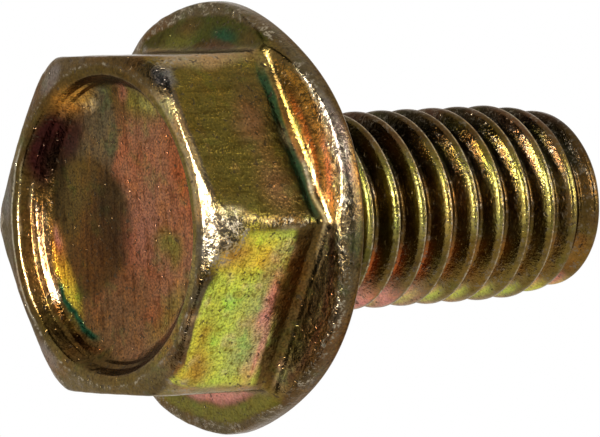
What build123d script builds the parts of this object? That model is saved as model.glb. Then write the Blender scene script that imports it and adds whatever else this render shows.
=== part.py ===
"""Flange bolt, M6 x 1: a cold-headed hexagon head with a dished top, forged in one piece with its
flange and with a rolled shank that is threaded along its whole length.

The origin is the middle of the flange's bearing face. +Z runs along the axis towards the point,
so the head lies below Z = 0, and two corners of the hexagon lie over the X axis. Lengths are in
millimetres and angles in degrees.
"""

import os
from math import radians, sqrt, tan

from build123d import *

# Thread
THREAD_DIAMETER = 6.0
THREAD_PITCH = 1.0
THREAD_DEPTH = 0.69
CREST_FLAT = 0.13  # land left between two turns of the groove
THREAD_START = 0.75  # from the bearing face to the middle of the groove where it starts
THREAD_TURN = 115.0  # place of that start, round the axis from X

# Shank and point
SHANK_LENGTH = 12.1
POINT_LENGTH = 2.1
POINT_DIAMETER = 5.2
NECK_FLARE = 0.2  # cone between the shank and the bearing face

# Hexagon head
ACROSS_FLATS = 9.94
HEAD_HEIGHT = 4.78
SHOULDER_RUN = 0.64  # from the rim out to where the sloping top meets the tapered sides
SHOULDER_DROP = 0.38  # from the rim down to that shoulder
SHOULDER_ROUND = 0.8
TAPER_CLEAR = 0.05  # the taper stands this far outside the corners at its foot
TAPER_FOOT = 1.0  # height of the foot above the bearing face

# Recess in the top of the head
RIM_DIAMETER = 9.32  # middle of the rim
RIM_WIDTH = 0.42
RIM_ROUND = 0.3  # on the inner edge of the rim
RECESS_DEPTH = 0.7
RECESS_RUN = 0.85  # from the rim in to the floor
FLOOR_ROUND = 0.8

# Flange
FLANGE_DIAMETER = 12.72
FLANGE_EDGE = 0.56  # height of the upper faces at the edge, in the middle of a flat
FLANGE_SLOPE = 15.0
FLANGE_HOLLOW = 0.45  # concave blend between a flat and the upper face below it
BEVEL_HEIGHT = 0.59  # where the bevel round the edge would meet the full diameter
BEVEL_WIDTH = 0.28
BEVEL_SLOPE = 45.0
EDGE_ROUND = 0.5
BEARING_CHAMFER = 0.12

flat_radius = ACROSS_FLATS / 2
corner_radius = ACROSS_FLATS / sqrt(3)
flange_radius = FLANGE_DIAMETER / 2
thread_radius = THREAD_DIAMETER / 2


with BuildPart() as head:
    # Hexagon bar, trimmed by the turned form of the top with its recess
    with BuildSketch(Plane.XY.offset(-HEAD_HEIGHT - RIM_WIDTH)):
        RegularPolygon(radius=corner_radius, side_count=6)
    extrude(amount=HEAD_HEIGHT + RIM_WIDTH)
    rim_in = (RIM_DIAMETER - RIM_WIDTH) / 2
    rim_out = (RIM_DIAMETER + RIM_WIDTH) / 2
    taper_radius = corner_radius + TAPER_CLEAR
    with BuildSketch(Plane.XZ):
        with BuildLine():
            FilletPolyline(
                (0, RECESS_DEPTH - HEAD_HEIGHT),
                (rim_in - RECESS_RUN, RECESS_DEPTH - HEAD_HEIGHT),
                (rim_in, -HEAD_HEIGHT),
                (rim_out, -HEAD_HEIGHT),
                (rim_out + SHOULDER_RUN, SHOULDER_DROP - HEAD_HEIGHT),
                (taper_radius, -TAPER_FOOT),
                (taper_radius, 0),
                (0, 0),
                radius=(0, FLOOR_ROUND, RIM_ROUND, 0, SHOULDER_ROUND, 0, 0, 0),
                close=True,
            )
        make_face()
    revolve(axis=Axis.Z, mode=Mode.INTERSECT)

with BuildPart() as flange:
    # Three sections with a hollow on both sides, crossed at 60 degrees, so that six sloping faces
    # meet in ridges that run out from the corners
    fall = tan(radians(FLANGE_SLOPE))
    reach = flange_radius + FLANGE_EDGE
    foot = FLANGE_EDGE + (flange_radius - flat_radius) * fall
    top = foot + FLANGE_HOLLOW
    for turn in (30, 90, 150):
        with BuildSketch(Plane.XZ.rotated((0, 0, turn))):
            with BuildLine():
                FilletPolyline(
                    (0, 0),
                    (reach, 0),
                    (reach, FLANGE_EDGE * (fall - 1)),
                    (flat_radius, -foot),
                    (flat_radius, -top),
                    (0, -top),
                    radius=(0, 0, 0, FLANGE_HOLLOW, 0, 0),
                    close=True,
                )
            make_face()
            mirror(about=Plane.YZ)
        extrude(
            amount=reach, both=True, mode=Mode.INTERSECT if flange.part else Mode.ADD
        )

    # Round edge with its bevel
    with BuildSketch(Plane.XZ):
        with BuildLine():
            FilletPolyline(
                (0, 0),
                (flange_radius - BEARING_CHAMFER, 0),
                (flange_radius, -BEARING_CHAMFER),
                (flange_radius, -BEVEL_HEIGHT),
                (
                    flange_radius - BEVEL_WIDTH,
                    -BEVEL_HEIGHT - BEVEL_WIDTH * tan(radians(BEVEL_SLOPE)),
                ),
                (flange_radius - BEVEL_WIDTH, -top),
                (0, -top),
                radius=(0, 0, 0, EDGE_ROUND, 0, 0, 0),
                close=True,
            )
        make_face()
    revolve(axis=Axis.Z, mode=Mode.INTERSECT)

with BuildPart() as shank:
    # Rod with the thread cut by a groove that is swept along a right-hand helix
    with BuildSketch(Plane.YZ):
        with BuildLine():
            Polyline(
                (0, 0), (thread_radius, 0), (thread_radius, SHANK_LENGTH), (0, SHANK_LENGTH),
                close=True,
            )
        make_face()
    revolve(axis=Axis.Z)
    mouth = (THREAD_PITCH - CREST_FLAT) / 2
    overshoot = CREST_FLAT / 2  # the cutter stands this far out of the rod
    cutter = mouth * (THREAD_DEPTH + overshoot) / THREAD_DEPTH
    with BuildSketch(Plane.XZ):
        with BuildLine():
            Polyline(
                (thread_radius - THREAD_DEPTH, THREAD_START),
                (thread_radius + overshoot, THREAD_START + cutter),
                (thread_radius + overshoot, THREAD_START - cutter),
                close=True,
            )
        make_face()
    with BuildLine():
        Helix(THREAD_PITCH, SHANK_LENGTH, thread_radius, center=(0, 0, THREAD_START))
    sweep(is_frenet=True, mode=Mode.SUBTRACT)

    # Tapered point
    point_radius = POINT_DIAMETER / 2
    taper = (thread_radius - point_radius) / POINT_LENGTH
    with BuildSketch(Plane.XZ):
        with BuildLine():
            Polyline(
                (0, 0),
                (point_radius + taper * SHANK_LENGTH, 0),
                (point_radius, SHANK_LENGTH),
                (0, SHANK_LENGTH),
                close=True,
            )
        make_face()
    revolve(axis=Axis.Z, mode=Mode.INTERSECT)

with BuildPart() as flange_bolt:
    add(head.part)
    add(flange.part)

    # Cone under the head that runs out into the thread
    with BuildSketch(Plane.XZ):
        with BuildLine():
            Polyline(
                (0, -NECK_FLARE),
                (thread_radius + NECK_FLARE, -NECK_FLARE),
                (thread_radius + NECK_FLARE, 0),
                (thread_radius, NECK_FLARE),
                (0, NECK_FLARE),
                close=True,
            )
        make_face()
    revolve(axis=Axis.Z)
    add(shank.part, rotation=(0, 0, THREAD_TURN))

flange_bolt.part.label = "flange_bolt"
os.makedirs("parts", exist_ok=True)
export_step(flange_bolt.part, "parts/flange_bolt.step")
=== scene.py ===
"""Visual model of a short metric flange bolt: a dished hexagon head forged in one with its flange,
and a rolled thread, under an iridescent yellow chromate film.

The bolt stands on the rim of its head. The origin is the middle of the bearing face and +Z runs
to the point of the thread. Sizes are in millimetres until a mesh is finished, then in metres.
"""

import logging
import math
from dataclasses import dataclass, field
from enum import Enum

import bpy
import numpy as np
from mathutils import Matrix, Vector, noise


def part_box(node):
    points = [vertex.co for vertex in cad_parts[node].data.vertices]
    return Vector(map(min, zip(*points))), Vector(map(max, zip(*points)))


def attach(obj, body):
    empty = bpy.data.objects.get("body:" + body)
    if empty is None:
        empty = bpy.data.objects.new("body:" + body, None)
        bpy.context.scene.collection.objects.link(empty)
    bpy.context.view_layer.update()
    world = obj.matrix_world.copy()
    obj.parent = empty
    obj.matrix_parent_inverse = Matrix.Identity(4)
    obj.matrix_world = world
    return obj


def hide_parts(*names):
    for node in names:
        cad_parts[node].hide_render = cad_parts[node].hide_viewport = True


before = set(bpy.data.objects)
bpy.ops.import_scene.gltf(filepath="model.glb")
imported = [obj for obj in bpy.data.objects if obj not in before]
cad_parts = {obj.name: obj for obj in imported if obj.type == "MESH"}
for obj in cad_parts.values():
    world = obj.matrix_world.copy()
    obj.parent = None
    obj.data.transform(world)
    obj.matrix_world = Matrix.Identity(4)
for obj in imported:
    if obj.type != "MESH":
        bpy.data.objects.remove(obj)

LOG = logging.getLogger("flange_bolt")

NODE = "flange_bolt"
BODY = "root"
METRES = 0.001  # one millimetre
FLATS = 6
SHANK_RADIUS = 3.0
MERGE = 0.0004  # points nearer than this become one
STRAIGHT = math.radians(89.5)  # half angle from which a corner counts as straight
COLOUR = "film_colour_and_painted_light"
WORN = "film_worn"
STREAKED = "film_streaked"
FILM_TINT = (0.80, 0.74, 0.68, 1.0)  # reflection at a grazing view
WHITE = (1, 1, 1, 1)
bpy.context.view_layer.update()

Outline = list[tuple[float, float]]  # radius and height of each point
Array = np.ndarray
Object = bpy.types.Object
Socket = bpy.types.NodeSocket


def smooth_min(first: Array, second: Array, blend: float) -> Array:
    """Smaller of two values, rounded over where they are nearly equal.

    Args:
        first: Values on one side.
        second: Values on the other side.
        blend: Difference below which the two run into each other.

    Returns:
        The rounded minimum.
    """
    near = np.clip(blend - np.abs(first - second), 0.0, None) / blend
    return np.minimum(first, second) - near * near * blend / 4


def ramp(low: float, high: float, value: Array) -> Array:
    """Soft ramp from 0 at low to 1 at high."""
    part = np.clip((value - low) / (high - low), 0.0, 1.0)
    return part * part * (3 - 2 * part)


def within(ends: tuple[float, float], soft: float, value: Array) -> Array:
    """Share that is 1 between two ends, which are soft."""
    low, high = (ramp(end - soft, end + soft, value) for end in ends)
    return low * (1 - high)


# Profiles and meshes


@dataclass(frozen=True)
class Corner:
    """Corner of a turned profile."""

    radius: float
    z: float
    round: float = 0.0
    spacing: float = 0.4  # of the points on the run that leads up to the corner


def turned_profile(corners: list[Corner], arc_spacing: float) -> Outline:
    """Points along a profile of straight runs with rounded corners.

    Args:
        corners: The corners in order.
        arc_spacing: Distance between points on the rounds.

    Returns:
        The points.
    """
    points = [(corners[0].radius, corners[0].z)]

    def run_to(end: Vector, spacing: float) -> None:
        """Adds evenly spaced points up to the end of a straight run."""
        start = Vector(points[-1])
        count = max(1, round((end - start).length / spacing))
        points.extend(tuple(start.lerp(end, (i + 1) / count)) for i in range(count))

    for before, corner, after in zip(corners, corners[1:], corners[2:]):
        at = Vector((corner.radius, corner.z))
        back = (Vector((before.radius, before.z)) - at).normalized()
        on = (Vector((after.radius, after.z)) - at).normalized()
        half = back.angle(on) / 2
        if corner.round == 0 or half > STRAIGHT:
            run_to(at, corner.spacing)
            continue
        tangent = corner.round / math.tan(half)
        centre = at + (back + on).normalized() * corner.round / math.sin(half)
        first, last = at + back * tangent - centre, at + on * tangent - centre
        run_to(centre + first, corner.spacing)
        turn = first.angle(last)
        count = max(3, round(corner.round * turn / arc_spacing))
        for i in range(1, count + 1):
            share = i / count
            way = first * math.sin((1 - share) * turn) + last * math.sin(share * turn)
            points.append(tuple(centre + way / math.sin(turn)))
    run_to(Vector((corners[-1].radius, corners[-1].z)), corners[-1].spacing)
    return points


def drawn_profile(name: str, points: Outline) -> Object:
    """Draws a profile in the XZ plane by extruding one vertex from point to point.

    Args:
        name: Name of the object.
        points: The points of the profile.

    Returns:
        The object, in edit mode, with all of its profile selected.
    """
    bpy.ops.object.select_all(action="DESELECT")
    bpy.ops.mesh.primitive_plane_add(size=1, location=(0, 0, 0))
    piece = bpy.context.object
    piece.name = piece.data.name = name
    bpy.ops.object.mode_set(mode="EDIT")
    select_mesh()
    bpy.ops.mesh.merge(type="CENTER")
    bpy.ops.transform.translate(value=(points[0][0], 0, points[0][1]))
    for before, after in zip(points, points[1:]):
        step = (after[0] - before[0], 0, after[1] - before[1])
        bpy.ops.mesh.extrude_region_move(TRANSFORM_OT_translate={"value": step})
    select_mesh()
    return piece


def select_mesh() -> None:
    """Selects all of the mesh in edit mode."""
    bpy.ops.mesh.select_all(action="SELECT")


def clean_up() -> None:
    """Merges doubled points of the piece in edit mode and turns its faces outwards."""
    select_mesh()
    bpy.ops.mesh.remove_doubles(threshold=MERGE)
    bpy.ops.mesh.normals_make_consistent(inside=False)
    bpy.ops.object.mode_set(mode="OBJECT")


def finish_mesh(piece: Object) -> None:
    """Takes a piece to metres, smooths its shading and hooks it to the frame."""
    piece.data.transform(Matrix.Scale(METRES, 4))
    bpy.ops.object.select_all(action="DESELECT")
    piece.select_set(True)
    bpy.context.view_layer.objects.active = piece
    bpy.ops.object.shade_smooth()
    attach(piece, BODY)
    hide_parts(NODE)


def points_of(piece: Object) -> Array:
    """Places of a piece's vertices, one row each."""
    flat = np.empty(len(piece.data.vertices) * 3)
    piece.data.vertices.foreach_get("co", flat)
    return flat.reshape(-1, 3)


def move_points(piece: Object, places: Array) -> None:
    """Gives a piece's vertices new places."""
    piece.data.vertices.foreach_set("co", places.ravel())
    piece.data.update()


def lumps(places: Array, size: float, seed: float) -> Array:
    """Soft noise over a surface.

    Args:
        places: Vertex places.
        size: Width of one lump.
        seed: Shift that makes one field differ from another.

    Returns:
        A value from about -1 to 1 at each place.
    """
    shift = Vector((seed, -seed, 2 * seed))
    return np.array([noise.noise(Vector(p) / size + shift) for p in places])


# The film's colours over the bolt, with highlights and shade painted into them


class Hue(Enum):
    """Colours that the film shows as its thickness changes, as seen on a display; some also serve
    as painted highlights.
    """

    WHITE_GOLD_HIGHLIGHT = (0.9, 0.8, 0.6)
    CREAM = (0.74, 0.65, 0.48)
    SAND = (0.6, 0.51, 0.36)
    GOLD = (0.66, 0.5, 0.22)
    AMBER = (0.56, 0.38, 0.13)
    COPPER = (0.62, 0.42, 0.22)
    ORANGE = (0.52, 0.28, 0.13)
    ROSE = (0.55, 0.35, 0.29)
    BLUSH = (0.525, 0.35, 0.255)
    OLIVE = (0.34, 0.295, 0.125)
    PINK = (0.74, 0.49, 0.45)
    WINE = (0.3, 0.17, 0.13)
    MAROON = (0.2, 0.09, 0.08)
    DRAB = (0.39, 0.33, 0.15)
    KHAKI = (0.48, 0.42, 0.26)
    BROWN = (0.31, 0.24, 0.12)
    UMBER = (0.27, 0.2, 0.09)
    SOOT = (0.12, 0.1, 0.05)
    LIME = (0.69, 0.74, 0.29)
    YELLOW = (0.78, 0.7, 0.24)
    SAGE = (0.6, 0.6, 0.36)
    MOSS = (0.4, 0.38, 0.16)
    GREEN = (0.23, 0.23, 0.08)
    TEAL = (0.11, 0.25, 0.17)
    STEEL = (0.46, 0.45, 0.46)
    SMOKE = (0.33, 0.29, 0.21)
    SPARK_FILM_AND_GLINT = (0.68, 0.64, 0.35)
    PALE_HIGHLIGHT = (0.86, 0.83, 0.75)
    FLAME = (0.6, 0.3, 0.13)

    def light(self) -> Array:
        """The colour in linear light."""
        tones = np.array(self.value)
        return np.where(tones <= 0.04045, tones / 12.92, ((tones + 0.055) / 1.055) ** 2.4)


@dataclass(frozen=True)
class Spots:
    """Places on a surface, in the measures that the film's patches are given in."""

    places: Array
    radius: Array  # distances from the axis
    azimuth: Array  # directions round the axis in degrees

    @classmethod
    def on(cls, piece: Object, wander: float = 0.0) -> "Spots":
        """Spots of a piece's vertices.

        Args:
            piece: The piece.
            wander: How far noise moves the places, so that edges of colour run unevenly.

        Returns:
            The spots.
        """
        places = points_of(piece)
        if wander:
            wide = np.stack([lumps(places, 0.9, s) for s in (3.1, 7.7, 12.9)], axis=1)
            near = np.stack([lumps(places, 0.25, s) for s in (4.3, 8.9, 15.1)], axis=1)
            places = places + wander * (wide + 0.35 * near)
        azimuth = np.degrees(np.arctan2(places[:, 1], places[:, 0]))
        return cls(places, np.hypot(places[:, 0], places[:, 1]), azimuth)

    def turn_from(self, azimuth: float) -> Array:
        """Angle from a direction in degrees, from -180 to 180."""
        return (self.azimuth - azimuth + 180) % 360 - 180

    def clouds(self, size: float, seed: float, low: float, high: float) -> Array:
        """Share of soft clouds, which rise from one value of the noise to another."""
        return ramp(low, high, lumps(self.places, size, seed))


@dataclass(frozen=True)
class Stain:
    """Soft-edged oval patch of one colour of the film, of a painted highlight or of painted shade.
    """

    hue: Hue
    radius: float  # of its middle
    azimuth: float
    z: float
    reach: tuple[float, float, float]  # half its size outwards, round the axis and along it
    strength: float = 0.6  # share of its colour in the middle
    edge: float = 0.8  # softness of its edge, as a share of its size

    def share(self, spots: Spots) -> Array:
        """Share of the patch's colour.

        Args:
            spots: Where it is asked for.

        Returns:
            The share at each spot.
        """
        way = math.radians(self.azimuth)
        out = np.array((math.cos(way), math.sin(way), 0.0))
        aside = np.array((-math.sin(way), math.cos(way), 0.0))
        off = spots.places - (out * self.radius + np.array((0.0, 0.0, self.z)))
        parts = np.stack([off @ out, off @ aside, off[:, 2]], axis=1) / self.reach
        far = np.sqrt((parts**2).sum(axis=1))
        return self.strength * (1 - ramp(1 - self.edge, 1 + self.edge, far))


@dataclass(frozen=True)
class Band:
    """Band of one colour that runs round the axis between two radii and two heights."""

    hue: Hue
    radii: tuple[float, float]
    heights: tuple[float, float]
    azimuth: float = 0.0  # of its middle
    half: float = 190.0  # half its length in degrees
    strength: float = 1.0  # share of its colour in the middle
    soft: float = 0.06  # half the width of its soft edge

    def share(self, spots: Spots) -> Array:
        """Share of the band's colour.

        Args:
            spots: Where it is asked for.

        Returns:
            The share at each spot.
        """
        fade = 4.0
        inside = within(self.radii, self.soft, spots.radius)
        inside *= within(self.heights, self.soft, spots.places[:, 2])
        turn = np.abs(spots.turn_from(self.azimuth))
        inside *= 1 - ramp(self.half - fade, self.half + fade, turn)
        return self.strength * inside


def lay(colour: Array, hue: Hue, share: Array) -> None:
    """Lays one colour over the others: of the film, of a painted highlight or of painted shade.

    Args:
        colour: Linear colour of each vertex, changed in place.
        hue: The colour to lay.
        share: How much of it shows at each vertex.
    """
    colour += share[:, None] * (hue.light() - colour)


def paint(
    piece: Object, colour: Array, worn: Array, streaked: Array
) -> None:
    """Stores the film's colour, with the highlights and shade painted into it, and its wear on a
    piece's vertices.

    Args:
        piece: The piece.
        colour: Linear colour of each vertex.
        worn: How far the film is rubbed thin, from 0 to 1.
        streaked: Where the streaks run across the head, from 0 to 1.
    """
    rows = np.concatenate([colour, np.ones((len(colour), 1))], axis=1)
    layer = piece.data.color_attributes.new(COLOUR, "FLOAT_COLOR", "POINT")
    layer.data.foreach_set("color", rows.ravel())
    for name, values in ((WORN, worn), (STREAKED, streaked)):
        layer = piece.data.attributes.new(name, "FLOAT", "POINT")
        layer.data.foreach_set("value", values)


# Head and flange


@dataclass
class ForgedHead:
    """Hexagon head with a dished top and a flange, forged in one."""

    height: float  # from the bearing face to the rim
    flange_radius: float
    neck_radius: float  # of the shank that the neck runs into
    across_flats: float = 9.94
    rim_radius: float = 4.66
    rim_half: float = 0.21
    recess_depth: float = 0.7
    recess_run: float = 0.74
    recess_bends: tuple[tuple[float, float], ...] = ((0.22, 0.32), (0.35, 0.4), (0.45, 0.52))
    shoulder_run: float = 0.64
    shoulder_drop: float = 0.38
    taper_radius: float = 5.79
    taper_foot: float = 1.0
    flange_edge: float = 0.56
    flange_slope: float = 15.0
    hollow: float = 0.45
    bevel_height: float = 0.59
    bevel_width: float = 0.32
    neck_flare: float = 0.2
    fuller: float = 0.34  # growth of the corners that the die filled best
    lower: float = 0.13  # drop of their top
    steps: int = 300
    edge_blend: float = 0.12
    piece: Object = field(init=False, default=None)

    def profile(self) -> Outline:
        """Profile of the blank before its flats are pressed.

        Returns:
            Its points, from the neck round to the middle of the recess.
        """
        top = -self.height
        floor = top + self.recess_depth
        outer = self.flange_radius
        bevel = outer - self.bevel_width
        rim_out, rim_in = self.rim_radius + self.rim_half, self.rim_radius - self.rim_half
        fine = 0.012
        corners = [
            Corner(0, self.neck_flare * 2),
            Corner(self.neck_radius - 0.1, self.neck_flare * 2, 0, 1.5),
            Corner(self.neck_radius - 0.05, self.neck_flare, 0, 0.2),
            Corner(self.neck_radius + self.neck_flare, 0, 0.08, 0.1),
            Corner(outer, 0, 0.12, 0.4),
            Corner(outer, -self.bevel_height, 0.7, 0.08),
            Corner(bevel, -self.bevel_height - self.bevel_width, 0, fine * 1.4),
            Corner(bevel, -self.taper_foot - 0.36, 0, fine),
            Corner(self.taper_radius - 0.03, -self.taper_foot - 0.4, 0, fine),
            Corner(rim_out + self.shoulder_run, top + self.shoulder_drop, 0.9, 0.12),
            Corner(rim_out, top, 0.3, 0.05),
            Corner(rim_in, top, 0.15, 0.05),
            *(Corner(rim_in - run, top + drop, 0.08, 0.04) for run, drop in self.recess_bends),
            Corner(rim_in - self.recess_run, floor, 0.3, 0.04),
            Corner(0, floor, 0, 0.16),
        ]
        return turned_profile(corners, 0.035)

    def flat_at(self, z: Array) -> Array:
        """Distance to the pressed face, which runs out along the slope of the flange.

        Args:
            z: Heights.

        Returns:
            The distance from the axis at each height.
        """
        flat = self.across_flats / 2
        slope = math.radians(self.flange_slope)
        foot = self.flange_edge + (self.flange_radius - flat) * math.tan(slope)
        reach = self.hollow * math.tan((math.pi / 2 - slope) / 2)
        along_slope = flat + (foot + z) / math.tan(slope)
        up = np.clip(foot + reach + z, 0.0, self.hollow)
        in_hollow = flat + self.hollow - np.sqrt(self.hollow**2 - up**2)
        start = foot - reach * math.sin(slope)
        return np.where(-z < start, along_slope, np.where(up > 0, in_hollow, flat))

    def press(self) -> None:
        """Presses the six flats and the six slopes of the flange into the turned blank."""
        spots = Spots.on(self.piece)
        places, radius, azimuth = spots.places, spots.radius, np.radians(spots.azimuth)
        z = places[:, 2]
        full = ramp(75, 112, np.abs(spots.azimuth))
        full *= 0.72 + 0.28 * np.cos(2 * azimuth)
        full *= ramp(1.5, 4.0, -z) * ramp(self.rim_radius + 0.15, 5.4, radius)
        radius = radius + self.fuller * full
        places[:, 2] = z = z - self.lower * full * ramp(3.8, 4.3, -z)
        radius = radius * (1 + self.swell(spots) * ramp(5.9, 6.15, radius))
        flat = self.flat_at(z)
        pressed = np.full_like(radius, 1e3)
        for k in range(FLATS):
            cosine = np.cos(azimuth - math.radians(60 * k + 30))
            reach = flat / np.clip(cosine, 0.05, None)
            pressed = smooth_min(pressed, reach, self.edge_blend)
        outside = radius > self.rim_radius - self.rim_half
        radius = np.where(outside, smooth_min(radius, pressed, self.edge_blend), radius)
        places[:, 0] = radius * np.cos(azimuth)
        places[:, 1] = radius * np.sin(azimuth)
        move_points(self.piece, places)

    def swell(self, spots: Spots) -> Array:
        """Growth of the flange's rim, which the forging left uneven.

        Args:
            spots: The head's vertices.

        Returns:
            The growth as a share of the radius.
        """
        lobes = (  # middle and width in degrees, growth
            (-13, 24, 0.012),
            (-57, 20, -0.024),
            (62, 22, -0.022),
            (92, 14, 0.02),
            (-92, 14, 0.018),
            (118, 16, 0.034),
            (-118, 16, 0.034),
        )
        parts = (h * np.exp(-((spots.turn_from(at) / wide) ** 2)) for at, wide, h in lobes)
        return sum(parts)

    def settle(self) -> None:
        """Moves the floor of the recess a little, because the punch struck off the middle."""
        spots = Spots.on(self.piece)
        places = spots.places
        inner = self.rim_radius - self.rim_half
        share = 1 - ramp(inner - 0.75, inner, spots.radius)
        share *= ramp(self.height - 1.5, self.height - 1.0, -places[:, 2])
        places[:, 0] += share * (0.1 - 0.03 * places[:, 0])
        places[:, 1] += share * (0.045 * places[:, 1] - 0.14)
        move_points(self.piece, places)

    def dent(self) -> None:
        """Gives the forged faces their slight unevenness."""
        spots = Spots.on(self.piece)
        places = spots.places
        normals = np.empty(places.size)
        self.piece.data.vertex_normals.foreach_get("vector", normals)
        depth = 0.016 * lumps(places, 1.3, 5.0) + 0.007 * lumps(places, 0.45, 9.0)
        rough = self.edge_wear(spots)
        depth += rough * (0.03 * lumps(places, 0.4, 14.0) + 0.022 * lumps(places, 0.18, 18.0))
        crumpled = self.crumple(spots)
        depth += crumpled * (0.03 * lumps(places, 0.3, 41.0) + 0.02 * lumps(places, 0.2, 43.0))
        depth *= ramp(0.15, 0.5, -places[:, 2]) * ramp(0.2, 1.0, spots.radius)
        move_points(self.piece, places + normals.reshape(-1, 3) * depth[:, None])

    def edge_wear(self, spots: Spots) -> Array:
        """How far the film is rubbed thin, most on the rim and the corners.

        Args:
            spots: The head's vertices.

        Returns:
            A value from 0 to 1 at each vertex.
        """
        radius, high = spots.radius, -spots.places[:, 2]
        off_corner = np.abs((spots.azimuth + 30) % 60 - 30) * math.pi / 180 * radius
        wide = 0.22 + 0.3 * ramp(3.6, 4.5, high)
        corner = np.exp(-((off_corner / wide) ** 2)) * ramp(5.1, 5.4, radius)
        corner *= ramp(1.2, 1.5, high)
        rim = np.exp(-(((radius - self.rim_radius - 0.08) / 0.07) ** 2))
        rim += 0.62 * ramp(self.rim_radius, self.rim_radius + 0.1, radius)
        rim *= ramp(self.height - 0.5, self.height - 0.1, high)
        edge = ramp(self.flange_radius - 0.34, self.flange_radius - 0.24, radius)
        edge *= ramp(0.2, 0.5, high)
        patchy = 0.65 + 0.5 * lumps(spots.places, 0.9, 27.0)
        worn = patchy * (0.75 * corner + 0.6 * rim + 0.85 * edge)
        return np.clip(worn + self.crumple(spots), 0.0, 1.0)

    def crumple(self, spots: Spots) -> Array:
        """How far the metal is crumpled at the corner that was struck hardest.

        Args:
            spots: The head's vertices.

        Returns:
            A value from 0 to 1 at each vertex.
        """
        beside = np.exp(-((spots.turn_from(3) / 9) ** 2))
        beside *= ramp(4.85, 5.05, spots.radius)
        return beside * ramp(3.4, 4.1, -spots.places[:, 2])

    def streaks(self, spots: Spots) -> Array:
        """Where the streaks of the film run across the head instead of along it.

        Args:
            spots: The head's vertices.

        Returns:
            A value at each vertex, 0 for along.
        """
        high = -spots.places[:, 2]
        streaked = 1 - ramp(4.0, 4.6, spots.radius)
        for k in range(FLATS):
            on_flat = 1 - ramp(24, 28, np.abs(spots.turn_from(60 * k + 30)))
            streaked += FACET_STREAKS[k] * on_flat * (1 - streaked)
        shoulder = ramp(4.7, 4.8, spots.radius) * ramp(4.3, 4.45, high)
        edge = ramp(6.0, 6.1, spots.radius) * ramp(0.1, 0.3, high)
        return np.maximum(streaked, 0.5 * shoulder + 0.6 * edge)

    def film(self, spots: Spots) -> Array:
        """Colour of the film over the head, with highlights and dark reflections painted into it.

        Args:
            spots: The head's vertices.

        Returns:
            Linear colour of each vertex.
        """
        radius, high = spots.radius, -spots.places[:, 2]
        colour = np.tile(Hue.DRAB.light(), (len(radius), 1))
        lay(colour, Hue.KHAKI, 0.7 * spots.clouds(2.3, 21.0, 0.1, 0.6))
        lay(colour, Hue.MOSS, 0.7 * spots.clouds(1.9, 33.0, 0.1, 0.6))
        lay(colour, Hue.ROSE, 0.5 * spots.clouds(2.1, 47.0, 0.25, 0.7))
        side = ramp(4.7, 4.9, radius) * ramp(1.2, 1.35, high)
        for k, hue in enumerate(FACET_HUES):
            turn = np.abs(spots.turn_from(60 * k + 30))
            off_flat = ramp(0.05, 0.09, radius * np.cos(np.radians(turn)) - 4.97)
            lay(colour, hue, side * (1 - off_flat) * (turn < 32))
        for patch in HEAD_FILM_AND_PAINTED_LIGHT:
            lay(colour, patch.hue, patch.share(spots))
        bright = side * ramp(1.5, 1.9, high) * (np.abs(spots.turn_from(30)) < 27)
        lay(colour, Hue.CREAM, 0.5 * bright * spots.clouds(0.45, 81.0, 0.15, 0.6))
        lay(colour, Hue.AMBER, 0.4 * bright * spots.clouds(0.7, 87.0, 0.3, 0.7))
        return colour

    def make(self) -> Object:
        """Makes and colours the head.

        Returns:
            The finished piece.
        """
        self.piece = drawn_profile("forged_head", self.profile())
        bpy.ops.mesh.spin(
            steps=self.steps, angle=math.tau, center=(0, 0, 0), axis=(0, 0, 1), use_auto_merge=True
        )
        clean_up()
        self.press()
        self.settle()
        self.dent()
        wear = self.edge_wear(Spots.on(self.piece, 0.05))
        spots = Spots.on(self.piece, 0.1)
        paint(self.piece, self.film(spots), wear, self.streaks(spots))
        finish_mesh(self.piece)
        return self.piece


# By flat, from the bright one on: its colour, and how far its streaks run across
FACET_HUES = (Hue.LIME, Hue.KHAKI, Hue.DRAB, Hue.MOSS, Hue.DRAB, Hue.OLIVE)
FACET_STREAKS = (0.9, 0.1, 0.0, 0.2, 0.1, -0.5)

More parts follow.
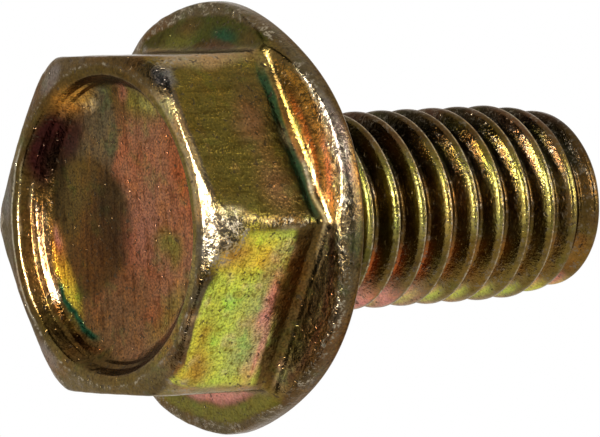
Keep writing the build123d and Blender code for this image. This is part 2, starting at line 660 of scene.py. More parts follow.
HEAD_FILM_AND_PAINTED_LIGHT: tuple[Stain | Band, ...] = (
    # Rim and shoulder
    Band(Hue.SMOKE, (4.7, 5.7), (-5.1, -4.5)),
    Band(Hue.BROWN, (4.7, 5.7), (-5.1, -4.5), -100, 50, 0.8),
    Band(Hue.BROWN, (4.7, 5.7), (-5.1, -4.5), 100, 40, 0.6),
    Stain(Hue.KHAKI, 5.0, -150, -4.7, (0.3, 0.8, 0.3), 0.5),
    Stain(Hue.UMBER, 5.0, -80, -4.7, (0.3, 0.9, 0.3)),
    Stain(Hue.UMBER, 5.0, 150, -4.7, (0.3, 0.7, 0.3)),
    Stain(Hue.UMBER, 5.0, 74, -4.7, (0.3, 0.8, 0.3)),
    Stain(Hue.STEEL, 5.1, -172, -4.7, (0.3, 0.5, 0.3), 0.5),
    Band(Hue.UMBER, (4.1, 4.7), (-5.0, -4.5), 180, 120, 0.8),
    Band(Hue.KHAKI, (4.4, 5.3), (-5.0, -4.6), 90, 40, 0.3),
    # Worn film and painted highlight: the pale sand band on the right of the shoulder
    Band(Hue.SAND, (4.66, 5.1), (-5.0, -4.6), -28, 26, 0.9),
    Stain(Hue.SMOKE, 5.2, 3, -4.55, (0.4, 0.7, 0.4), 0.9, 0.5),
    Stain(Hue.STEEL, 5.2, 8, -4.5, (0.35, 0.35, 0.3), 0.8, 0.7),
    Stain(Hue.UMBER, 5.2, 15, -4.6, (0.4, 0.4, 0.3), 1.0, 0.7),
    Stain(Hue.STEEL, 5.3, -56, -4.6, (0.3, 0.5, 0.4), 0.6, 0.35),
    Stain(Hue.STEEL, 5.0, -120, -4.7, (0.3, 0.6, 0.3), 0.5, 0.35),
    Stain(Hue.STEEL, 5.0, 128, -4.7, (0.3, 0.6, 0.3), 0.5, 0.35),
    # Recess: wall, floor and their patches
    Band(Hue.BROWN, (0.0, 4.45), (-4.75, -3.9)),
    Band(Hue.UMBER, (3.75, 4.4), (-4.75, -3.9), 180, 60, 0.7, 0.15),
    # Painted highlights on the left of the recess: the pale band low on the wall, the cream lines
    # above it and the pale line on the rim's crest
    Band(Hue.PALE_HIGHLIGHT, (3.7, 4.0), (-4.6, -4.1), 166, 20, 0.95, 0.07),
    Band(Hue.CREAM, (4.12, 4.2), (-4.7, -4.2), 172, 24, 0.3, 0.03),
    Band(Hue.CREAM, (4.4, 4.46), (-4.8, -4.4), 176, 30, 0.5, 0.03),
    Band(Hue.PALE_HIGHLIGHT, (4.7, 4.76), (-5.0, -4.4), 176, 34, 0.6, 0.03),
    Stain(Hue.BLUSH, 1.2, 20, -4.08, (3.0, 4.0, 0.3), 0.95, 0.25),
    Stain(Hue.BROWN, 2.4, 100, -4.08, (2.0, 2.0, 0.3), 0.6, 0.6),
    Stain(Hue.SMOKE, 3.43, -133, -4.08, (2.15, 2.3, 0.35), 0.9, 0.06),
    # Floor: darker over its left half, darkest near the middle
    Stain(Hue.UMBER, 2.6, 178, -4.08, (3.08, 2.2, 0.35), 0.95, 0.08),
    Stain(Hue.DRAB, 2.4, -158, -4.08, (0.9, 1.2, 0.35), 0.3, 0.9),
    Stain(Hue.SOOT, 0.5, 165, -4.08, (0.85, 1.3, 0.3)),
    Stain(Hue.SOOT, 1.3, -135, -4.08, (0.5, 0.8, 0.3), 0.35, 0.9),
    Stain(Hue.BROWN, 3.0, 165, -4.1, (0.9, 1.6, 0.3), 0.5),
    Stain(Hue.ROSE, 1.0, 15, -4.08, (0.7, 0.9, 0.3), 0.6, 0.9),
    Stain(Hue.MOSS, 3.7, -72, -4.2, (0.4, 0.8, 0.3), 0.9, 0.7),
    Stain(Hue.SAGE, 3.8, -66, -4.25, (0.16, 0.5, 0.3), 0.5),
    Stain(Hue.ROSE, 3.9, -86, -4.3, (0.3, 0.25, 0.3), 0.7, 0.6),
    Stain(Hue.MOSS, 2.3, 13, -4.08, (0.6, 0.35, 0.3), 0.8, 0.7),
    Stain(Hue.MOSS, 2.85, 17, -4.08, (0.3, 0.5, 0.3), 0.8, 0.7),
    Stain(Hue.ORANGE, 3.4, -28, -4.1, (0.35, 1.2, 0.3)),
    Stain(Hue.MOSS, 3.4, 48, -4.1, (0.35, 1.2, 0.3), 0.7),
    Stain(Hue.YELLOW, 3.36, 150, -4.1, (0.26, 0.95, 0.15), 1.0),
    Stain(Hue.COPPER, 3.34, 169, -4.1, (0.26, 0.55, 0.15), 1.0),
    Stain(Hue.PINK, 3.38, 172, -4.1, (0.12, 0.3, 0.15), 0.7),
    # Painted highlight on the upper wall of the recess: a gold patch with a white-gold middle
    Stain(Hue.GOLD, 4.1, -116, -4.45, (0.4, 0.8, 0.4), 0.7, 0.6),
    Stain(Hue.WHITE_GOLD_HIGHLIGHT, 3.8, -112, -4.28, (0.16, 0.45, 0.2), 0.7, 0.7),
    # Maroon film on the upper left wall of the recess, darkened with soot as a painted dark
    # reflection
    Stain(Hue.MAROON, 4.0, -145, -4.35, (0.65, 1.2, 0.5), 1.0, 0.35),
    Stain(Hue.MAROON, 3.5, -135, -4.15, (0.4, 0.8, 0.5), 0.9, 0.5),
    Stain(Hue.SOOT, 3.75, -150, -4.2, (0.3, 0.6, 0.4), 0.7),
    Stain(Hue.SOOT, 3.4, -165, -4.1, (0.35, 0.6, 0.3)),
    Band(Hue.TEAL, (3.58, 3.74), (-4.5, -3.9), 132, 20, 1.0, 0.05),
    Band(Hue.ORANGE, (3.9, 4.05), (-4.6, -3.9), 126, 20, 0.6, 0.05),
    Band(Hue.UMBER, (3.85, 4.4), (-4.8, -4.2), 105, 45, 0.7),
    # Corner strips
    Stain(Hue.BROWN, 5.5, 0, -4.2, (0.5, 0.6, 0.8), 0.85, 0.35),
    # Along the ridge of this corner the cream and sand are worn film and painted highlight
    Stain(Hue.CREAM, 5.5, -5, -4.3, (0.4, 0.16, 0.5), 0.7),
    Stain(Hue.STEEL, 5.5, 7, -4.35, (0.4, 0.25, 0.3), 0.9, 0.7),
    Stain(Hue.UMBER, 5.5, 12, -4.1, (0.4, 0.3, 0.4), 0.9, 0.7),
    Stain(Hue.SAND, 5.6, -2, -3.6, (0.4, 0.12, 0.3), 0.8),
    Stain(Hue.UMBER, 5.7, 0, -2.4, (0.4, 0.24, 1.3), 0.9, 0.6),
    Stain(Hue.SAND, 5.7, -1, -2.9, (0.3, 0.09, 0.2), 0.7),
    Stain(Hue.CREAM, 5.7, 1, -1.9, (0.3, 0.05, 0.5), 0.5),
    Stain(Hue.SAND, 5.6, -60, -3.0, (0.5, 0.4, 1.6), 0.8, 0.35),
    Stain(Hue.SAND, 5.6, 60, -3.0, (0.5, 0.3, 1.6), 0.7, 0.35),
    Stain(Hue.SAND, 5.6, 180, -3.2, (0.5, 0.3, 1.4), 0.7, 0.35),
    # Bright flat: yellow near the corner, sage and pink near its foot
    Stain(Hue.YELLOW, 5.3, 9, -3.4, (0.5, 0.8, 1.0), 0.9, 0.6),
    Stain(Hue.COPPER, 5.3, 8, -3.9, (0.4, 0.5, 0.5), 0.7),
    Stain(Hue.SAGE, 5.0, 20, -2.3, (0.5, 1.5, 0.4), 0.9, 0.6),
    Stain(Hue.SAGE, 5.0, 30, -2.6, (0.5, 0.7, 0.7)),
    Stain(Hue.PINK, 5.05, 36, -2.0, (0.5, 1.9, 0.3), 0.95, 0.5),
    Stain(Hue.PINK, 5.05, 36, -2.5, (0.5, 0.35, 0.35), 0.4, 0.9),
    Stain(Hue.COPPER, 5.3, 53, -3.9, (0.4, 0.6, 0.5), 0.7, 0.9),
    Stain(Hue.AMBER, 5.3, 36, -4.0, (0.4, 2.2, 0.28)),
    Stain(Hue.SAGE, 5.2, 47, -2.35, (0.4, 0.9, 0.7), 0.9, 0.7),
    Stain(Hue.PINK, 5.25, 47, -1.84, (0.4, 0.8, 0.14), 0.8, 0.5),
    # Feet of the flats
    Band(Hue.BROWN, (4.8, 5.9), (-1.66, -0.5), 34, 26, 1.0, 0.08),
    Band(Hue.BROWN, (4.8, 5.9), (-1.88, -0.5), 16, 18, 1.0, 0.08),
    Stain(Hue.WINE, 5.1, -46, -1.9, (0.4, 1.1, 0.5), 0.4, 0.6),
    Stain(Hue.ROSE, 5.2, -34, -2.3, (0.5, 0.7, 0.5), 0.35, 0.9),
    Stain(Hue.ROSE, 5.2, -12, -2.2, (0.5, 0.9, 0.5), 0.3, 0.9),
    Band(Hue.TEAL, (4.8, 5.8), (-1.38, -1.1), -28, 27, 0.85, 0.06),
    Stain(Hue.SAND, 5.1, -30, -1.25, (0.4, 0.35, 0.12), 0.6, 0.9),
    # Painted highlight along the hollow at the foot of the flats: copper, pale, rose and white-gold
    # bands, dimmed with brown at its upper end
    Band(Hue.COPPER, (4.9, 5.3), (-1.06, -0.92), -33, 20, 0.85, 0.04),
    Band(Hue.PALE_HIGHLIGHT, (4.9, 5.4), (-1.06, -0.92), -8, 11, 0.8, 0.04),
    Band(Hue.ROSE, (5.15, 5.3), (-1.06, -0.85), -26, 22, 0.5, 0.04),
    Band(Hue.BROWN, (4.9, 5.5), (-1.06, -0.9), -48, 16, 0.8, 0.04),
    Band(Hue.WHITE_GOLD_HIGHLIGHT, (5.0, 5.9), (-1.05, -0.8), -6, 8, 0.7, 0.05),
    # Slopes of the flange
    Band(Hue.UMBER, (5.2, 5.7), (-0.99, -0.5), -26, 28, 0.95),
    Band(Hue.SOOT, (5.4, 6.1), (-0.99, -0.4), -26, 30, 0.6),
    Band(Hue.ORANGE, (5.3, 5.5), (-0.99, -0.5), -22, 18, 0.25),
    Band(Hue.DRAB, (5.1, 5.3), (-1.0, -0.5), -34, 24, 0.8),
    # Painted highlight: the thin cream line on the slope
    Band(Hue.CREAM, (5.3, 5.36), (-1.0, -0.5), -14, 11, 0.6, 0.03),
    Band(Hue.BROWN, (5.66, 6.08), (-0.9, -0.4), -34, 24, 0.8, 0.1),
    Band(Hue.ROSE, (5.8, 6.0), (-0.9, -0.4), -14, 10, 0.6, 0.1),
    Band(Hue.AMBER, (5.6, 6.08), (-0.95, -0.4), -5, 5, 0.3),
    Band(Hue.SAND, (5.0, 6.15), (-1.02, -0.4), 30, 29, 0.75),
    Band(Hue.BROWN, (4.9, 5.42), (-1.06, -0.4), 30, 29, 0.9),
    Stain(Hue.MOSS, 5.5, 44, -0.8, (0.2, 0.7, 0.3), 0.5, 0.9),
    Band(Hue.WINE, (5.78, 6.0), (-0.95, -0.4), 28, 26, 0.8),
    Band(Hue.BROWN, (5.58, 5.68), (-0.98, -0.4), 34, 16, 0.8),
    Band(Hue.PINK, (4.9, 5.5), (-1.0, -0.5), 80, 29, 0.85, 0.12),
    Band(Hue.WINE, (5.4, 5.6), (-1.0, -0.5), 88, 24, 0.4, 0.1),
    Band(Hue.MOSS, (5.6, 6.2), (-1.0, -0.4), 92, 32, 0.9, 0.15),
    Band(Hue.GREEN, (4.9, 6.2), (-1.0, -0.4), -92, 32, 1.0),
    Band(Hue.UMBER, (5.0, 5.25), (-1.0, -0.4), -92, 26, 0.8),
    Stain(Hue.MOSS, 5.4, -104, -0.8, (0.3, 0.8, 0.3)),
    Stain(Hue.BROWN, 5.8, -100, -0.7, (0.25, 0.6, 0.3), 0.8),
    Stain(Hue.BROWN, 5.7, -68, -0.7, (0.3, 0.4, 0.3), 0.8),
    Stain(Hue.TEAL, 5.55, -80, -0.75, (0.22, 0.6, 0.3), 0.9, 0.7),
    Band(Hue.WINE, (5.0, 5.4), (-1.0, -0.4), -76, 12, 0.5),
    # Rim of the flange
    Band(Hue.BROWN, (6.08, 7.0), (-0.8, 0.3)),
    Band(Hue.SMOKE, (6.12, 7.0), (-0.75, -0.2), 0, 190, 0.8),
    # Painted highlight on the crease of the flange's rim
    Band(Hue.PALE_HIGHLIGHT, (6.05, 6.12), (-0.8, -0.4), -18, 26, 0.5, 0.04),
    Stain(Hue.STEEL, 6.3, -24, -0.5, (0.3, 1.6, 0.25), 0.5, 0.35),
    Stain(Hue.UMBER, 6.15, 50, -0.75, (0.3, 1.5, 0.3), 0.8, 0.7),
    # Sides away from the bright flat
    Stain(Hue.ROSE, 5.0, 140, -2.4, (0.5, 1.1, 0.6), 0.4, 0.9),
    Stain(Hue.YELLOW, 5.1, 72, -2.4, (0.5, 1.1, 0.7), 0.5, 0.9),
    Stain(Hue.WINE, 5.1, 100, -1.7, (0.5, 1.4, 0.4), 0.5),
    Stain(Hue.PINK, 5.0, -160, -2.1, (0.5, 1.4, 0.4), 0.5),
    Stain(Hue.AMBER, 5.1, -138, -3.4, (0.5, 0.9, 0.7), 0.6, 0.9),
    Stain(Hue.COPPER, 5.1, -80, -3.2, (0.5, 0.9, 0.8), 0.4, 0.9),
)


# Thread


@dataclass
class RolledShank:
    """Shank with a right-hand thread rolled along all of it."""

    length: float  # from the bearing face to the point
    radius: float  # over the crests
    pitch: float = 1.0
    depth: float = 0.62
    land: float = 0.15
    lip: float = 0.045
    root_round: float = 0.13
    phase: float = 0.43
    point_length: float = 2.1
    point_radius: float = 2.7
    end_round: float = 0.1
    sunk: float = 0.1
    steps: int = 144
    join: float = 0.0005  # points of two turns nearer than this become one
    piece: Object = field(init=False, default=None)

    def groove(self) -> Outline:
        """Outline of one turn of the thread.

        Returns:
            Its points, from one crest's middle to the next.
        """
        root = self.radius - self.depth
        corners = [
            Corner(self.radius, 0),
            Corner(self.radius, self.lip, 0.02, 0.02),
            Corner(root, self.pitch / 2, self.root_round, 0.12),
            Corner(self.radius - 0.02, self.pitch - self.land, 0.2, 0.12),
            Corner(self.radius, self.pitch - self.lip / 2, 0, 0.03),
            Corner(self.radius, self.pitch, 0, 0.03),
        ]
        return turned_profile(corners, 0.045)

    @property
    def first_crest(self) -> float:
        """Height of the middle of a crest over the X axis."""
        return self.phase + self.pitch / 2

    def limit(self, z: Array) -> Array:
        """Largest radius, which tapers to the point and rounds over at the end.

        Args:
            z: Heights.

        Returns:
            The radius at each height.
        """
        over = np.clip(z - (self.length - self.point_length), 0.0, None)
        cone = self.radius - over * (self.radius - self.point_radius) / self.point_length
        left = np.clip(self.end_round - (self.length - z), 0.0, self.end_round)
        return cone - self.end_round + np.sqrt(self.end_round**2 - left**2)

    def cut(self, z: float, **ends: bool) -> None:
        """Cuts the thread level at a height, and fills or clears its ends as asked."""
        select_mesh()
        bpy.ops.mesh.bisect(plane_co=(0, 0, z), plane_no=(0, 0, 1), **ends)

    def make(self) -> Object:
        """Makes and colours the shank.

        Returns:
            The finished piece.
        """
        start = self.first_crest - 3 * self.pitch
        outline = [(radius, z + start) for radius, z in self.groove()]
        self.piece = drawn_profile("rolled_shank", outline)
        bpy.ops.object.mode_set(mode="OBJECT")
        turns = self.piece.modifiers.new("turns", "SCREW")
        turns.axis = "Z"
        turns.angle = math.tau
        turns.screw_offset = self.pitch
        turns.iterations = math.ceil(self.length / self.pitch) + 3
        turns.steps = turns.render_steps = self.steps
        turns.use_merge_vertices = True
        turns.merge_threshold = self.join
        bpy.ops.object.modifier_apply(modifier=turns.name)
        bpy.ops.object.mode_set(mode="EDIT")
        select_mesh()
        bpy.ops.mesh.remove_doubles(threshold=self.join)
        for share in (1.0, 0.8, 0.5, 0.25, 0.1):
            self.cut(self.length - self.end_round * share)
        self.cut(self.length, use_fill=True, clear_outer=True)
        self.cut(-self.sunk, use_fill=True, clear_inner=True)
        clean_up()
        self.taper()
        self.colour()
        finish_mesh(self.piece)
        return self.piece

    def taper(self) -> None:
        """Makes the thread shallower over the point and rounds its end."""
        spots = Spots.on(self.piece)
        places, radius = spots.places, spots.radius
        root = self.radius - self.depth
        share = (self.limit(places[:, 2]) - root) / self.depth
        shallow = np.where(radius > root, root + (radius - root) * share, radius)
        places[:, :2] *= (shallow / np.maximum(radius, 1e-6))[:, None]
        move_points(self.piece, places)

    def colour(self) -> None:
        """Colours the thread by its direction round the axis and its place on the flank."""
        shape = Spots.on(self.piece)
        spots = Spots.on(self.piece, 0.12)
        high = np.clip((shape.radius - self.radius + self.depth) / self.depth, 0.0, 1.0)
        turn = (shape.places[:, 2] - self.first_crest) / self.pitch - shape.azimuth / 360
        off_crest = (turn + 0.5) % 1 - 0.5
        line = ramp(-0.03, 0.0, off_crest) * (1 - ramp(0.02, 0.06, off_crest))
        line *= ramp(0.8, 0.9, high)
        # The sector colours hold painted shade on the thread's upper side and in its roots, and
        # painted highlight on the crests that face the lamp
        foot, flank, crest = (sector_colours(hues, spots) for hues in zip(*THREAD_HUES.values()))
        colour = flank + (1 - ramp(0.25, 0.75, high))[:, None] * (foot - flank)
        colour += ramp(0.68, 0.93, high)[:, None] * (crest - colour)
        rosy = spots.clouds(1.7, 61.0, 0.0, 0.5) * ramp(0.2, 0.7, high)
        lay(colour, Hue.ROSE, 0.12 * rosy)
        lay(colour, Hue.GREEN, 0.35 * spots.clouds(1.1, 71.0, 0.1, 0.5))
        z = spots.places[:, 2]
        russet = np.exp(-((spots.turn_from(42) / 20) ** 2)) * ramp(5.0, 7.5, z)
        lay(colour, Hue.DRAB, 0.85 * russet)
        bump = np.exp(-((spots.turn_from(72) / 15) ** 2)) * ramp(0.15, 0.4, high)
        bump *= 1 - ramp(4.5, 7.0, z)
        lay(colour, Hue.PINK, bump * (1 - ramp(-0.1, 0.0, off_crest)))
        lay(colour, Hue.SAND, 0.75 * line)
        paint(self.piece, colour, 0.3 + 0.5 * line, np.zeros(len(line)))


# By azimuth in degrees: the colours low on the flank, on the flank and on the crest
THREAD_HUES = {
    -170: (Hue.BROWN, Hue.DRAB, Hue.KHAKI),
    -125: (Hue.UMBER, Hue.GREEN, Hue.BROWN),
    # Painted shade: soot on the thread's upper side from -85 to -46, and darker colours low on the
    # flank, in the roots, from -46 to 3
    -85: (Hue.SOOT, Hue.SOOT, Hue.SOOT),
    -62: (Hue.SOOT, Hue.SOOT, Hue.UMBER),
    -46: (Hue.SOOT, Hue.UMBER, Hue.UMBER),
    -28: (Hue.SOOT, Hue.UMBER, Hue.MOSS),
    # Painted highlight: the pale gold crests at -12 and 3, over the film's gold, where the lamp's
    # glints fall
    -12: (Hue.UMBER, Hue.BROWN, Hue.SPARK_FILM_AND_GLINT),
    3: (Hue.UMBER, Hue.BROWN, Hue.SPARK_FILM_AND_GLINT),
    20: (Hue.BROWN, Hue.BROWN, Hue.DRAB),
    32: (Hue.ORANGE, Hue.DRAB, Hue.BROWN),
    48: (Hue.FLAME, Hue.BROWN, Hue.DRAB),
    60: (Hue.BROWN, Hue.KHAKI, Hue.DRAB),
    72: (Hue.PINK, Hue.LIME, Hue.KHAKI),
    85: (Hue.PINK, Hue.LIME, Hue.SAND),
    105: (Hue.MOSS, Hue.MOSS, Hue.KHAKI),
    145: (Hue.ROSE, Hue.DRAB, Hue.SAND),
}


def sector_colours(hues: tuple[Hue, ...], spots: Spots) -> Array:
    """Colours round the thread, each blended into the next.

    Args:
        hues: Colour at each direction of THREAD_HUES.
        spots: The thread's vertices.

    Returns:
        Linear colour of each vertex.
    """
    lights = np.array([hue.light() for hue in hues]).T
    ways = list(THREAD_HUES)
    return np.stack([np.interp(spots.azimuth, ways, light, period=360) for light in lights], axis=1)


# Finish


def fill(tree: bpy.types.NodeTree, node: bpy.types.Node, values: dict) -> bpy.types.Node:
    """Gives a node's inputs their values or links.

    Args:
        tree: The tree that holds the node.
        node: The node.
        values: Number, colour or output for each input, by the input's name or place.

    Returns:
        The node.
    """
    for name, value in values.items():
        if isinstance(value, Socket):
            tree.links.new(value, node.inputs[name])
        else:
            node.inputs[name].default_value = value
    return node


def add_node(tree: bpy.types.NodeTree, kind: str, values: dict, **settings) -> bpy.types.Node:
    """Adds a shader node.

    Args:
        tree: Where it goes.
        kind: Its kind.
        values: What its inputs get.
        settings: The node's own settings.

    Returns:
        The node.
    """
    node = tree.nodes.new(f"ShaderNode{kind}")
    for name, setting in settings.items():
        setattr(node, name, setting)
    return fill(tree, node, values)


class ChromateFilm:
    """Node group of the chromate film: its blotches, streaks, pits, rubbed places and relief."""

    INPUTS = ("Worn", "Streaked", "Mottle", "Pits", "Roughness")
    OUTPUTS = (("Colour", "Color"), ("Roughness", "Float"), ("Height", "Float"))

    def __init__(self) -> None:
        """Starts the group and names its inputs and outputs."""
        self.tree = bpy.data.node_groups.new("chromate_film", "ShaderNodeTree")
        given = (("Place", "Vector"), ("Colour", "Color"), *((n, "Float") for n in self.INPUTS))
        for way, sockets in (("INPUT", given), ("OUTPUT", self.OUTPUTS)):
            for name, kind in sockets:
                self.tree.interface.new_socket(name, in_out=way, socket_type=f"NodeSocket{kind}")

    def noise(self, place: Socket, scale: float, detail: float, rough: float) -> Socket:
        """Noise over the surface, with its scale in lumps to the metre."""
        values = {"Vector": place, "Scale": scale, "Detail": detail, "Roughness": rough}
        return add_node(self.tree, "TexNoise", values).outputs["Fac"]

    def streak(self, place: Socket, squeeze: tuple[float, float, float]) -> Socket:
        """Noise that runs out into streaks where its place is squeezed."""
        values = {"Vector": place, "Scale": squeeze}
        squeezed = add_node(self.tree, "Mapping", values).outputs["Vector"]
        return self.noise(squeezed, 6000, 3, 0.6)

    def math(self, kind: str, first: Socket | float, second: Socket | float) -> Socket:
        """Result of one operation on two values."""
        return add_node(self.tree, "Math", {0: first, 1: second}, operation=kind).outputs[0]

    def times(self, first: Socket | float, second: Socket | float) -> Socket:
        """Product of two values."""
        return self.math("MULTIPLY", first, second)

    def plus(self, first: Socket | float, second: Socket | float) -> Socket:
        """Sum of two values."""
        return self.math("ADD", first, second)

    def ramp(
        self, value: Socket, low: float, high: float, start: float = 0.0, end: float = 1.0
    ) -> Socket:
        """Soft ramp of a value.

        Args:
            value: The value.
            low: Where the ramp starts.
            high: Where it ends.
            start: Result at its start.
            end: Result at its end.

        Returns:
            The ramped value.
        """
        values = {"Value": value, "From Min": low, "From Max": high, "To Min": start, "To Max": end}
        node = add_node(self.tree, "MapRange", values, interpolation_type="SMOOTHSTEP")
        return node.outputs["Result"]

    def lay(self, under: Socket, tone: tuple, share: Socket, way: str = "MIX") -> Socket:
        """Lays a tone over a colour.

        Args:
            under: The colour.
            tone: The tone's red, green and blue.
            share: How much of it shows.
            way: Blender's name of the way they mix.

        Returns:
            The mixed colour.
        """
        values = {0: share, 6: under, 7: (*tone, 1.0)}
        node = add_node(self.tree, "Mix", values, data_type="RGBA", blend_type=way)
        return node.outputs[2]

    def build(self) -> bpy.types.ShaderNodeTree:
        """Wires the group.

        Returns:
            The group.
        """
        given = self.tree.nodes.new("NodeGroupInput").outputs
        place, worn, streaked = given["Place"], given["Worn"], given["Streaked"]
        mottle = self.times(given["Mottle"], self.plus(self.times(streaked, 0.8), 1.0))
        drift = self.noise(place, 420, 3, 0.5)
        blotch = self.noise(place, 1300, 4, 0.6)
        fine = self.noise(place, 4200, 4, 0.65)
        grain = self.noise(place, 15000, 2, 0.6)
        along = self.streak(place, (1.0, 1.0, 0.12))
        across = self.streak(place, (1.0, 0.16, 1.0))
        ways = {0: streaked, 2: along, 3: across}
        streak = add_node(self.tree, "Mix", ways, data_type="FLOAT").outputs[0]
        tones = (  # pattern, where the tone starts and is full, the tone, its strength
            (drift, 0.45, 0.68, (1.28, 0.86, 0.66), 0.7),
            (blotch, 0.52, 0.7, (0.74, 1.12, 0.9), 0.7),
            (blotch, 0.46, 0.34, (1.2, 1.1, 0.8), 0.6),
            (fine, 0.54, 0.68, (0.6, 0.54, 0.42), 1.0),
            (fine, 0.45, 0.32, (1.3, 1.24, 1.05), 0.8),
            (streak, 0.53, 0.66, (0.66, 0.6, 0.5), 1.0),
            (streak, 0.45, 0.33, (1.26, 1.2, 1.0), 0.8),
            (grain, 0.5, 0.64, (0.62, 0.58, 0.5), 1.0),
            (grain, 0.49, 0.36, (1.35, 1.3, 1.15), 1.0),
        )
        colour = given["Colour"]
        for pattern, low, high, tone, strength in tones:
            share = self.times(self.times(self.ramp(pattern, low, high), mottle), strength)
            colour = self.lay(colour, tone, share, "MULTIPLY")
        pitted = self.times(self.ramp(self.noise(place, 5600, 1, 0.5), 0.66, 0.72), given["Pits"])
        colour = self.lay(colour, (0.05, 0.035, 0.02), pitted)

        # Rubbed places are sandy: bare tops with dirt between them
        sand = self.plus(self.times(fine, 0.6), self.times(grain, 0.4))
        wear = self.times(worn, 0.1)
        rubbed = self.times(self.ramp(self.plus(sand, wear), 0.55, 0.66), self.ramp(worn, 0.0, 0.8))
        colour = self.lay(colour, (0.30, 0.25, 0.175), rubbed)
        soiled = self.times(self.ramp(self.math("SUBTRACT", wear, sand), -0.42, -0.34), worn)
        colour = self.lay(colour, (0.05, 0.038, 0.022), soiled)

        gloss = self.plus(given["Roughness"], self.ramp(blotch, 0.3, 0.75, -0.06, 0.12))
        sandy = self.times(self.plus(grain, fine), self.plus(self.times(worn, 0.55), 0.2))
        relief = self.plus(self.times(blotch, 0.6), sandy)
        for pattern, height in ((fine, 0.35), (streak, 0.2), (pitted, -0.4)):
            relief = self.plus(relief, self.times(pattern, height))
        sink = self.tree.nodes.new("NodeGroupOutput")
        fill(self.tree, sink, {"Colour": colour, "Roughness": gloss, "Height": relief})
        return self.tree


@dataclass(frozen=True)
class ChromateFinish:
    """Values of the chromate film for one piece."""

    name: str
    mottle: float = 0.65  # strength of the blotches
    pits: float = 0.7  # strength of the fine dark pits
    roughness: float = 0.15  # of the clean film
    bump: float = 0.03  # height of the relief

    def material(self, film: bpy.types.ShaderNodeTree) -> bpy.types.Material:
        """Builds the material round the shared film group.

        Args:
            film: The group.

        Returns:
            The material.
        """
        made = bpy.data.materials.new(self.name)
        made.use_nodes = True
        tree = made.node_tree
        given = {
            "Place": add_node(tree, "TexCoord", {}).outputs["Object"],
            "Colour": add_node(tree, "VertexColor", {}, layer_name=COLOUR).outputs["Color"],
            "Worn": add_node(tree, "Attribute", {}, attribute_name=WORN).outputs["Fac"],
            "Streaked": add_node(tree, "Attribute", {}, attribute_name=STREAKED).outputs["Fac"],
            "Mottle": self.mottle,
            "Pits": self.pits,
            "Roughness": self.roughness,
        }
        coat = add_node(tree, "Group", given, node_tree=film).outputs
        relief = {"Distance": self.bump * METRES, "Strength": 1.0, "Height": coat["Height"]}
        looks = {
            "Metallic": 1.0,
            "Specular Tint": FILM_TINT,
            "Base Color": coat["Colour"],
            "Roughness": coat["Roughness"],
            "Normal": add_node(tree, "Bump", relief).outputs["Normal"],
        }
        fill(tree, tree.nodes["Principled BSDF"], looks)
        return made


# Studio


@dataclass(frozen=True)
class Panel:
    """Softbox that faces the bolt, or a black card if it has no power."""

    name: str
    side: tuple[float, float, float]  # direction to it, as right, up and towards the viewer
    distance: float  # from the bolt in metres
    size: tuple[float, float]  # width and height in metres
    power: float = 0.0  # in watts


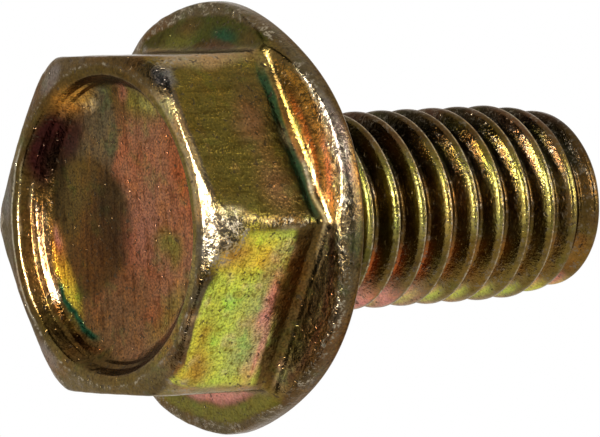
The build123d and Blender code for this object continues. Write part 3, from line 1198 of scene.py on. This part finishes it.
@dataclass(frozen=True)
class Studio:
    """Floor, white world, softboxes, black cards and camera. Its lengths are in metres."""

    floor_z: float
    floor_size: float = 0.6
    aim: tuple[float, float, float] = (0.0, 0.0, 0.002)
    tilt: float = 52.91
    turn: float = -2.79
    roll: float = -3.54
    distance: float = 0.16508
    lens: float = 329.33
    across: float = 0.00039
    above: float = -0.00012
    room: float = 0.5  # strength of the world's plain light
    card: float = 0.02  # how light a black card is

    def axes(self) -> tuple[Vector, Vector, Vector]:
        """Directions of the camera, which looks from below the head.

        Returns:
            Its right, up and backward directions.
        """
        tilt, turn, roll = (math.radians(a) for a in (self.tilt, self.turn, self.roll))
        spin = Matrix.Rotation(turn, 3, "Z")
        back = spin @ Vector((math.sin(tilt), 0, -math.cos(tilt)))
        level = spin @ Vector((math.cos(tilt), 0, math.sin(tilt)))
        upright = back.cross(level)
        right = math.cos(roll) * level + math.sin(roll) * upright
        up = -math.sin(roll) * level + math.cos(roll) * upright
        return right, up, back

    def facing(self, panel: Panel) -> Matrix:
        """Stands a panel in its place, facing the bolt.

        Args:
            panel: The panel.

        Returns:
            Its matrix.
        """
        right, up, back = self.axes()
        side = panel.side
        way = (right * side[0] + up * side[1] + back * side[2]).normalized()
        level = up.cross(way).normalized()
        turn = Matrix((level, way.cross(level), way)).transposed().to_4x4()
        return Matrix.Translation(Vector(self.aim) + way * panel.distance) @ turn

    def set_camera(self) -> None:
        """Places the camera."""
        right, up, back = self.axes()
        data = bpy.data.cameras.new("camera")
        data.sensor_fit = "HORIZONTAL"
        data.sensor_width = 36.0
        data.lens = self.lens
        data.clip_start, data.clip_end = 0.01, 10.0
        camera = bpy.data.objects.new("camera", data)
        place = Vector(self.aim) + back * self.distance + right * self.across + up * self.above
        turn = Matrix((right, up, back)).transposed().to_4x4()
        camera.matrix_world = Matrix.Translation(place) @ turn
        bpy.context.scene.collection.objects.link(camera)
        bpy.context.scene.camera = camera

    def stage_plane(self, name: str, size: float, looks: dict) -> Object:
        """Adds a plane that is part of the stage.

        Args:
            name: Name of the plane and its material.
            size: Length of its sides.
            looks: Inputs of its shader.

        Returns:
            The plane, which lights and shades nothing.
        """
        bpy.ops.object.select_all(action="DESELECT")
        bpy.ops.mesh.primitive_plane_add(size=size)
        plane = bpy.context.object
        plane.name = name
        made = bpy.data.materials.new(name)
        made.use_nodes = True
        fill(made.node_tree, made.node_tree.nodes["Principled BSDF"], looks)
        plane.data.materials.append(made)
        plane.visible_diffuse = plane.visible_transmission = plane.visible_shadow = False
        return plane

    def lay_floor(self) -> None:
        """Lays the pale floor, which can be seen through from below."""
        looks = {
            "Base Color": (0.82, 0.82, 0.81, 1),
            "Roughness": 0.9,
            "Specular IOR Level": 0.1,
        }
        floor = self.stage_plane("floor", self.floor_size, looks)
        floor.location.z = self.floor_z
        floor.visible_glossy = False
        tree = floor.active_material.node_tree
        below = add_node(tree, "NewGeometry", {}).outputs["Backfacing"]
        clear = add_node(tree, "BsdfTransparent", {}).outputs[0]
        solid = tree.nodes["Principled BSDF"].outputs[0]
        mixed = add_node(tree, "MixShader", {0: below, 1: solid, 2: clear})
        fill(tree, tree.nodes["Material Output"], {"Surface": mixed.outputs[0]})

    def light(self) -> None:
        """Sets the world, which looks white, and the softboxes."""
        scene = bpy.context.scene
        scene.world = bpy.data.worlds.new("studio")
        scene.world.use_nodes = True
        tree = scene.world.node_tree
        rays = add_node(tree, "LightPath", {}).outputs
        seen = rays["Is Camera Ray"]
        for ray in ("Is Glossy Ray", "Is Transmission Ray"):
            seen = add_node(tree, "Math", {0: seen, 1: rays[ray]}, operation="MAXIMUM").outputs[0]
        room = {"Color": WHITE, "Strength": self.room}
        plain = fill(tree, tree.nodes["Background"], room).outputs[0]
        white = add_node(tree, "Background", {"Color": WHITE, "Strength": 1.0}).outputs[0]
        mixed = add_node(tree, "MixShader", {0: seen, 1: plain, 2: white})
        fill(tree, tree.nodes["World Output"], {"Surface": mixed.outputs[0]})
        for box in SOFTBOXES:
            data = bpy.data.lights.new(box.name, "AREA")
            data.shape = "RECTANGLE"
            data.size, data.size_y = box.size
            data.energy = box.power
            lamp = bpy.data.objects.new(box.name, data)
            lamp.matrix_world = self.facing(box)
            scene.collection.objects.link(lamp)

    def hang_cards(self) -> None:
        """Hangs the black cards, which the metal mirrors and the camera doesn't see."""
        black = (self.card, self.card, self.card, 1)
        looks = {"Base Color": black, "Roughness": 1.0, "Specular IOR Level": 0.0}
        for flag in FLAGS:
            card = self.stage_plane(flag.name, 1, looks)
            card.matrix_world = self.facing(flag) @ Matrix.Diagonal((*flag.size, 1, 1))
            card.visible_camera = False


SOFTBOXES = (
    Panel("window_softbox", (-0.655, 0.2, 0.73), 0.28, (0.045, 0.18), 2.6),
    Panel("right_softbox", (0.92, 0.3, 0.2), 0.28, (0.03, 0.18), 0.3),
    Panel("front_softbox", (0.25, 0.2, 0.9), 0.3, (0.03, 0.12), 0.4),
)

FLAGS = (
    Panel("upper_left_flag", (-0.65, 0.75, 0.3), 0.36, (0.3, 0.2)),
    Panel("lower_left_flag", (-0.6, -0.6, 0.55), 0.36, (0.2, 0.2)),
    Panel("right_flag", (0.75, 0.1, 0.65), 0.36, (0.16, 0.4)),
)


def main() -> None:
    """Builds the bolt and the studio round it."""
    logging.basicConfig(level=logging.INFO, format="%(message)s")
    low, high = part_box(NODE)
    bpy.context.scene.view_settings.view_transform = "Standard"
    film = ChromateFilm().build()
    head = ForgedHead(-low[2] / METRES, high[0] / METRES, SHANK_RADIUS).make()
    head.data.materials.append(ChromateFinish("head_chromate").material(film))
    LOG.info("forged head: %d faces", len(head.data.polygons))
    shank = RolledShank(high[2] / METRES, SHANK_RADIUS).make()
    shank.data.materials.append(ChromateFinish("thread_chromate").material(film))
    LOG.info("rolled shank: %d faces", len(shank.data.polygons))
    studio = Studio(floor_z=low[2])
    studio.lay_floor()
    studio.light()
    studio.hang_cards()
    studio.set_camera()


if __name__ == "__main__":
    main()
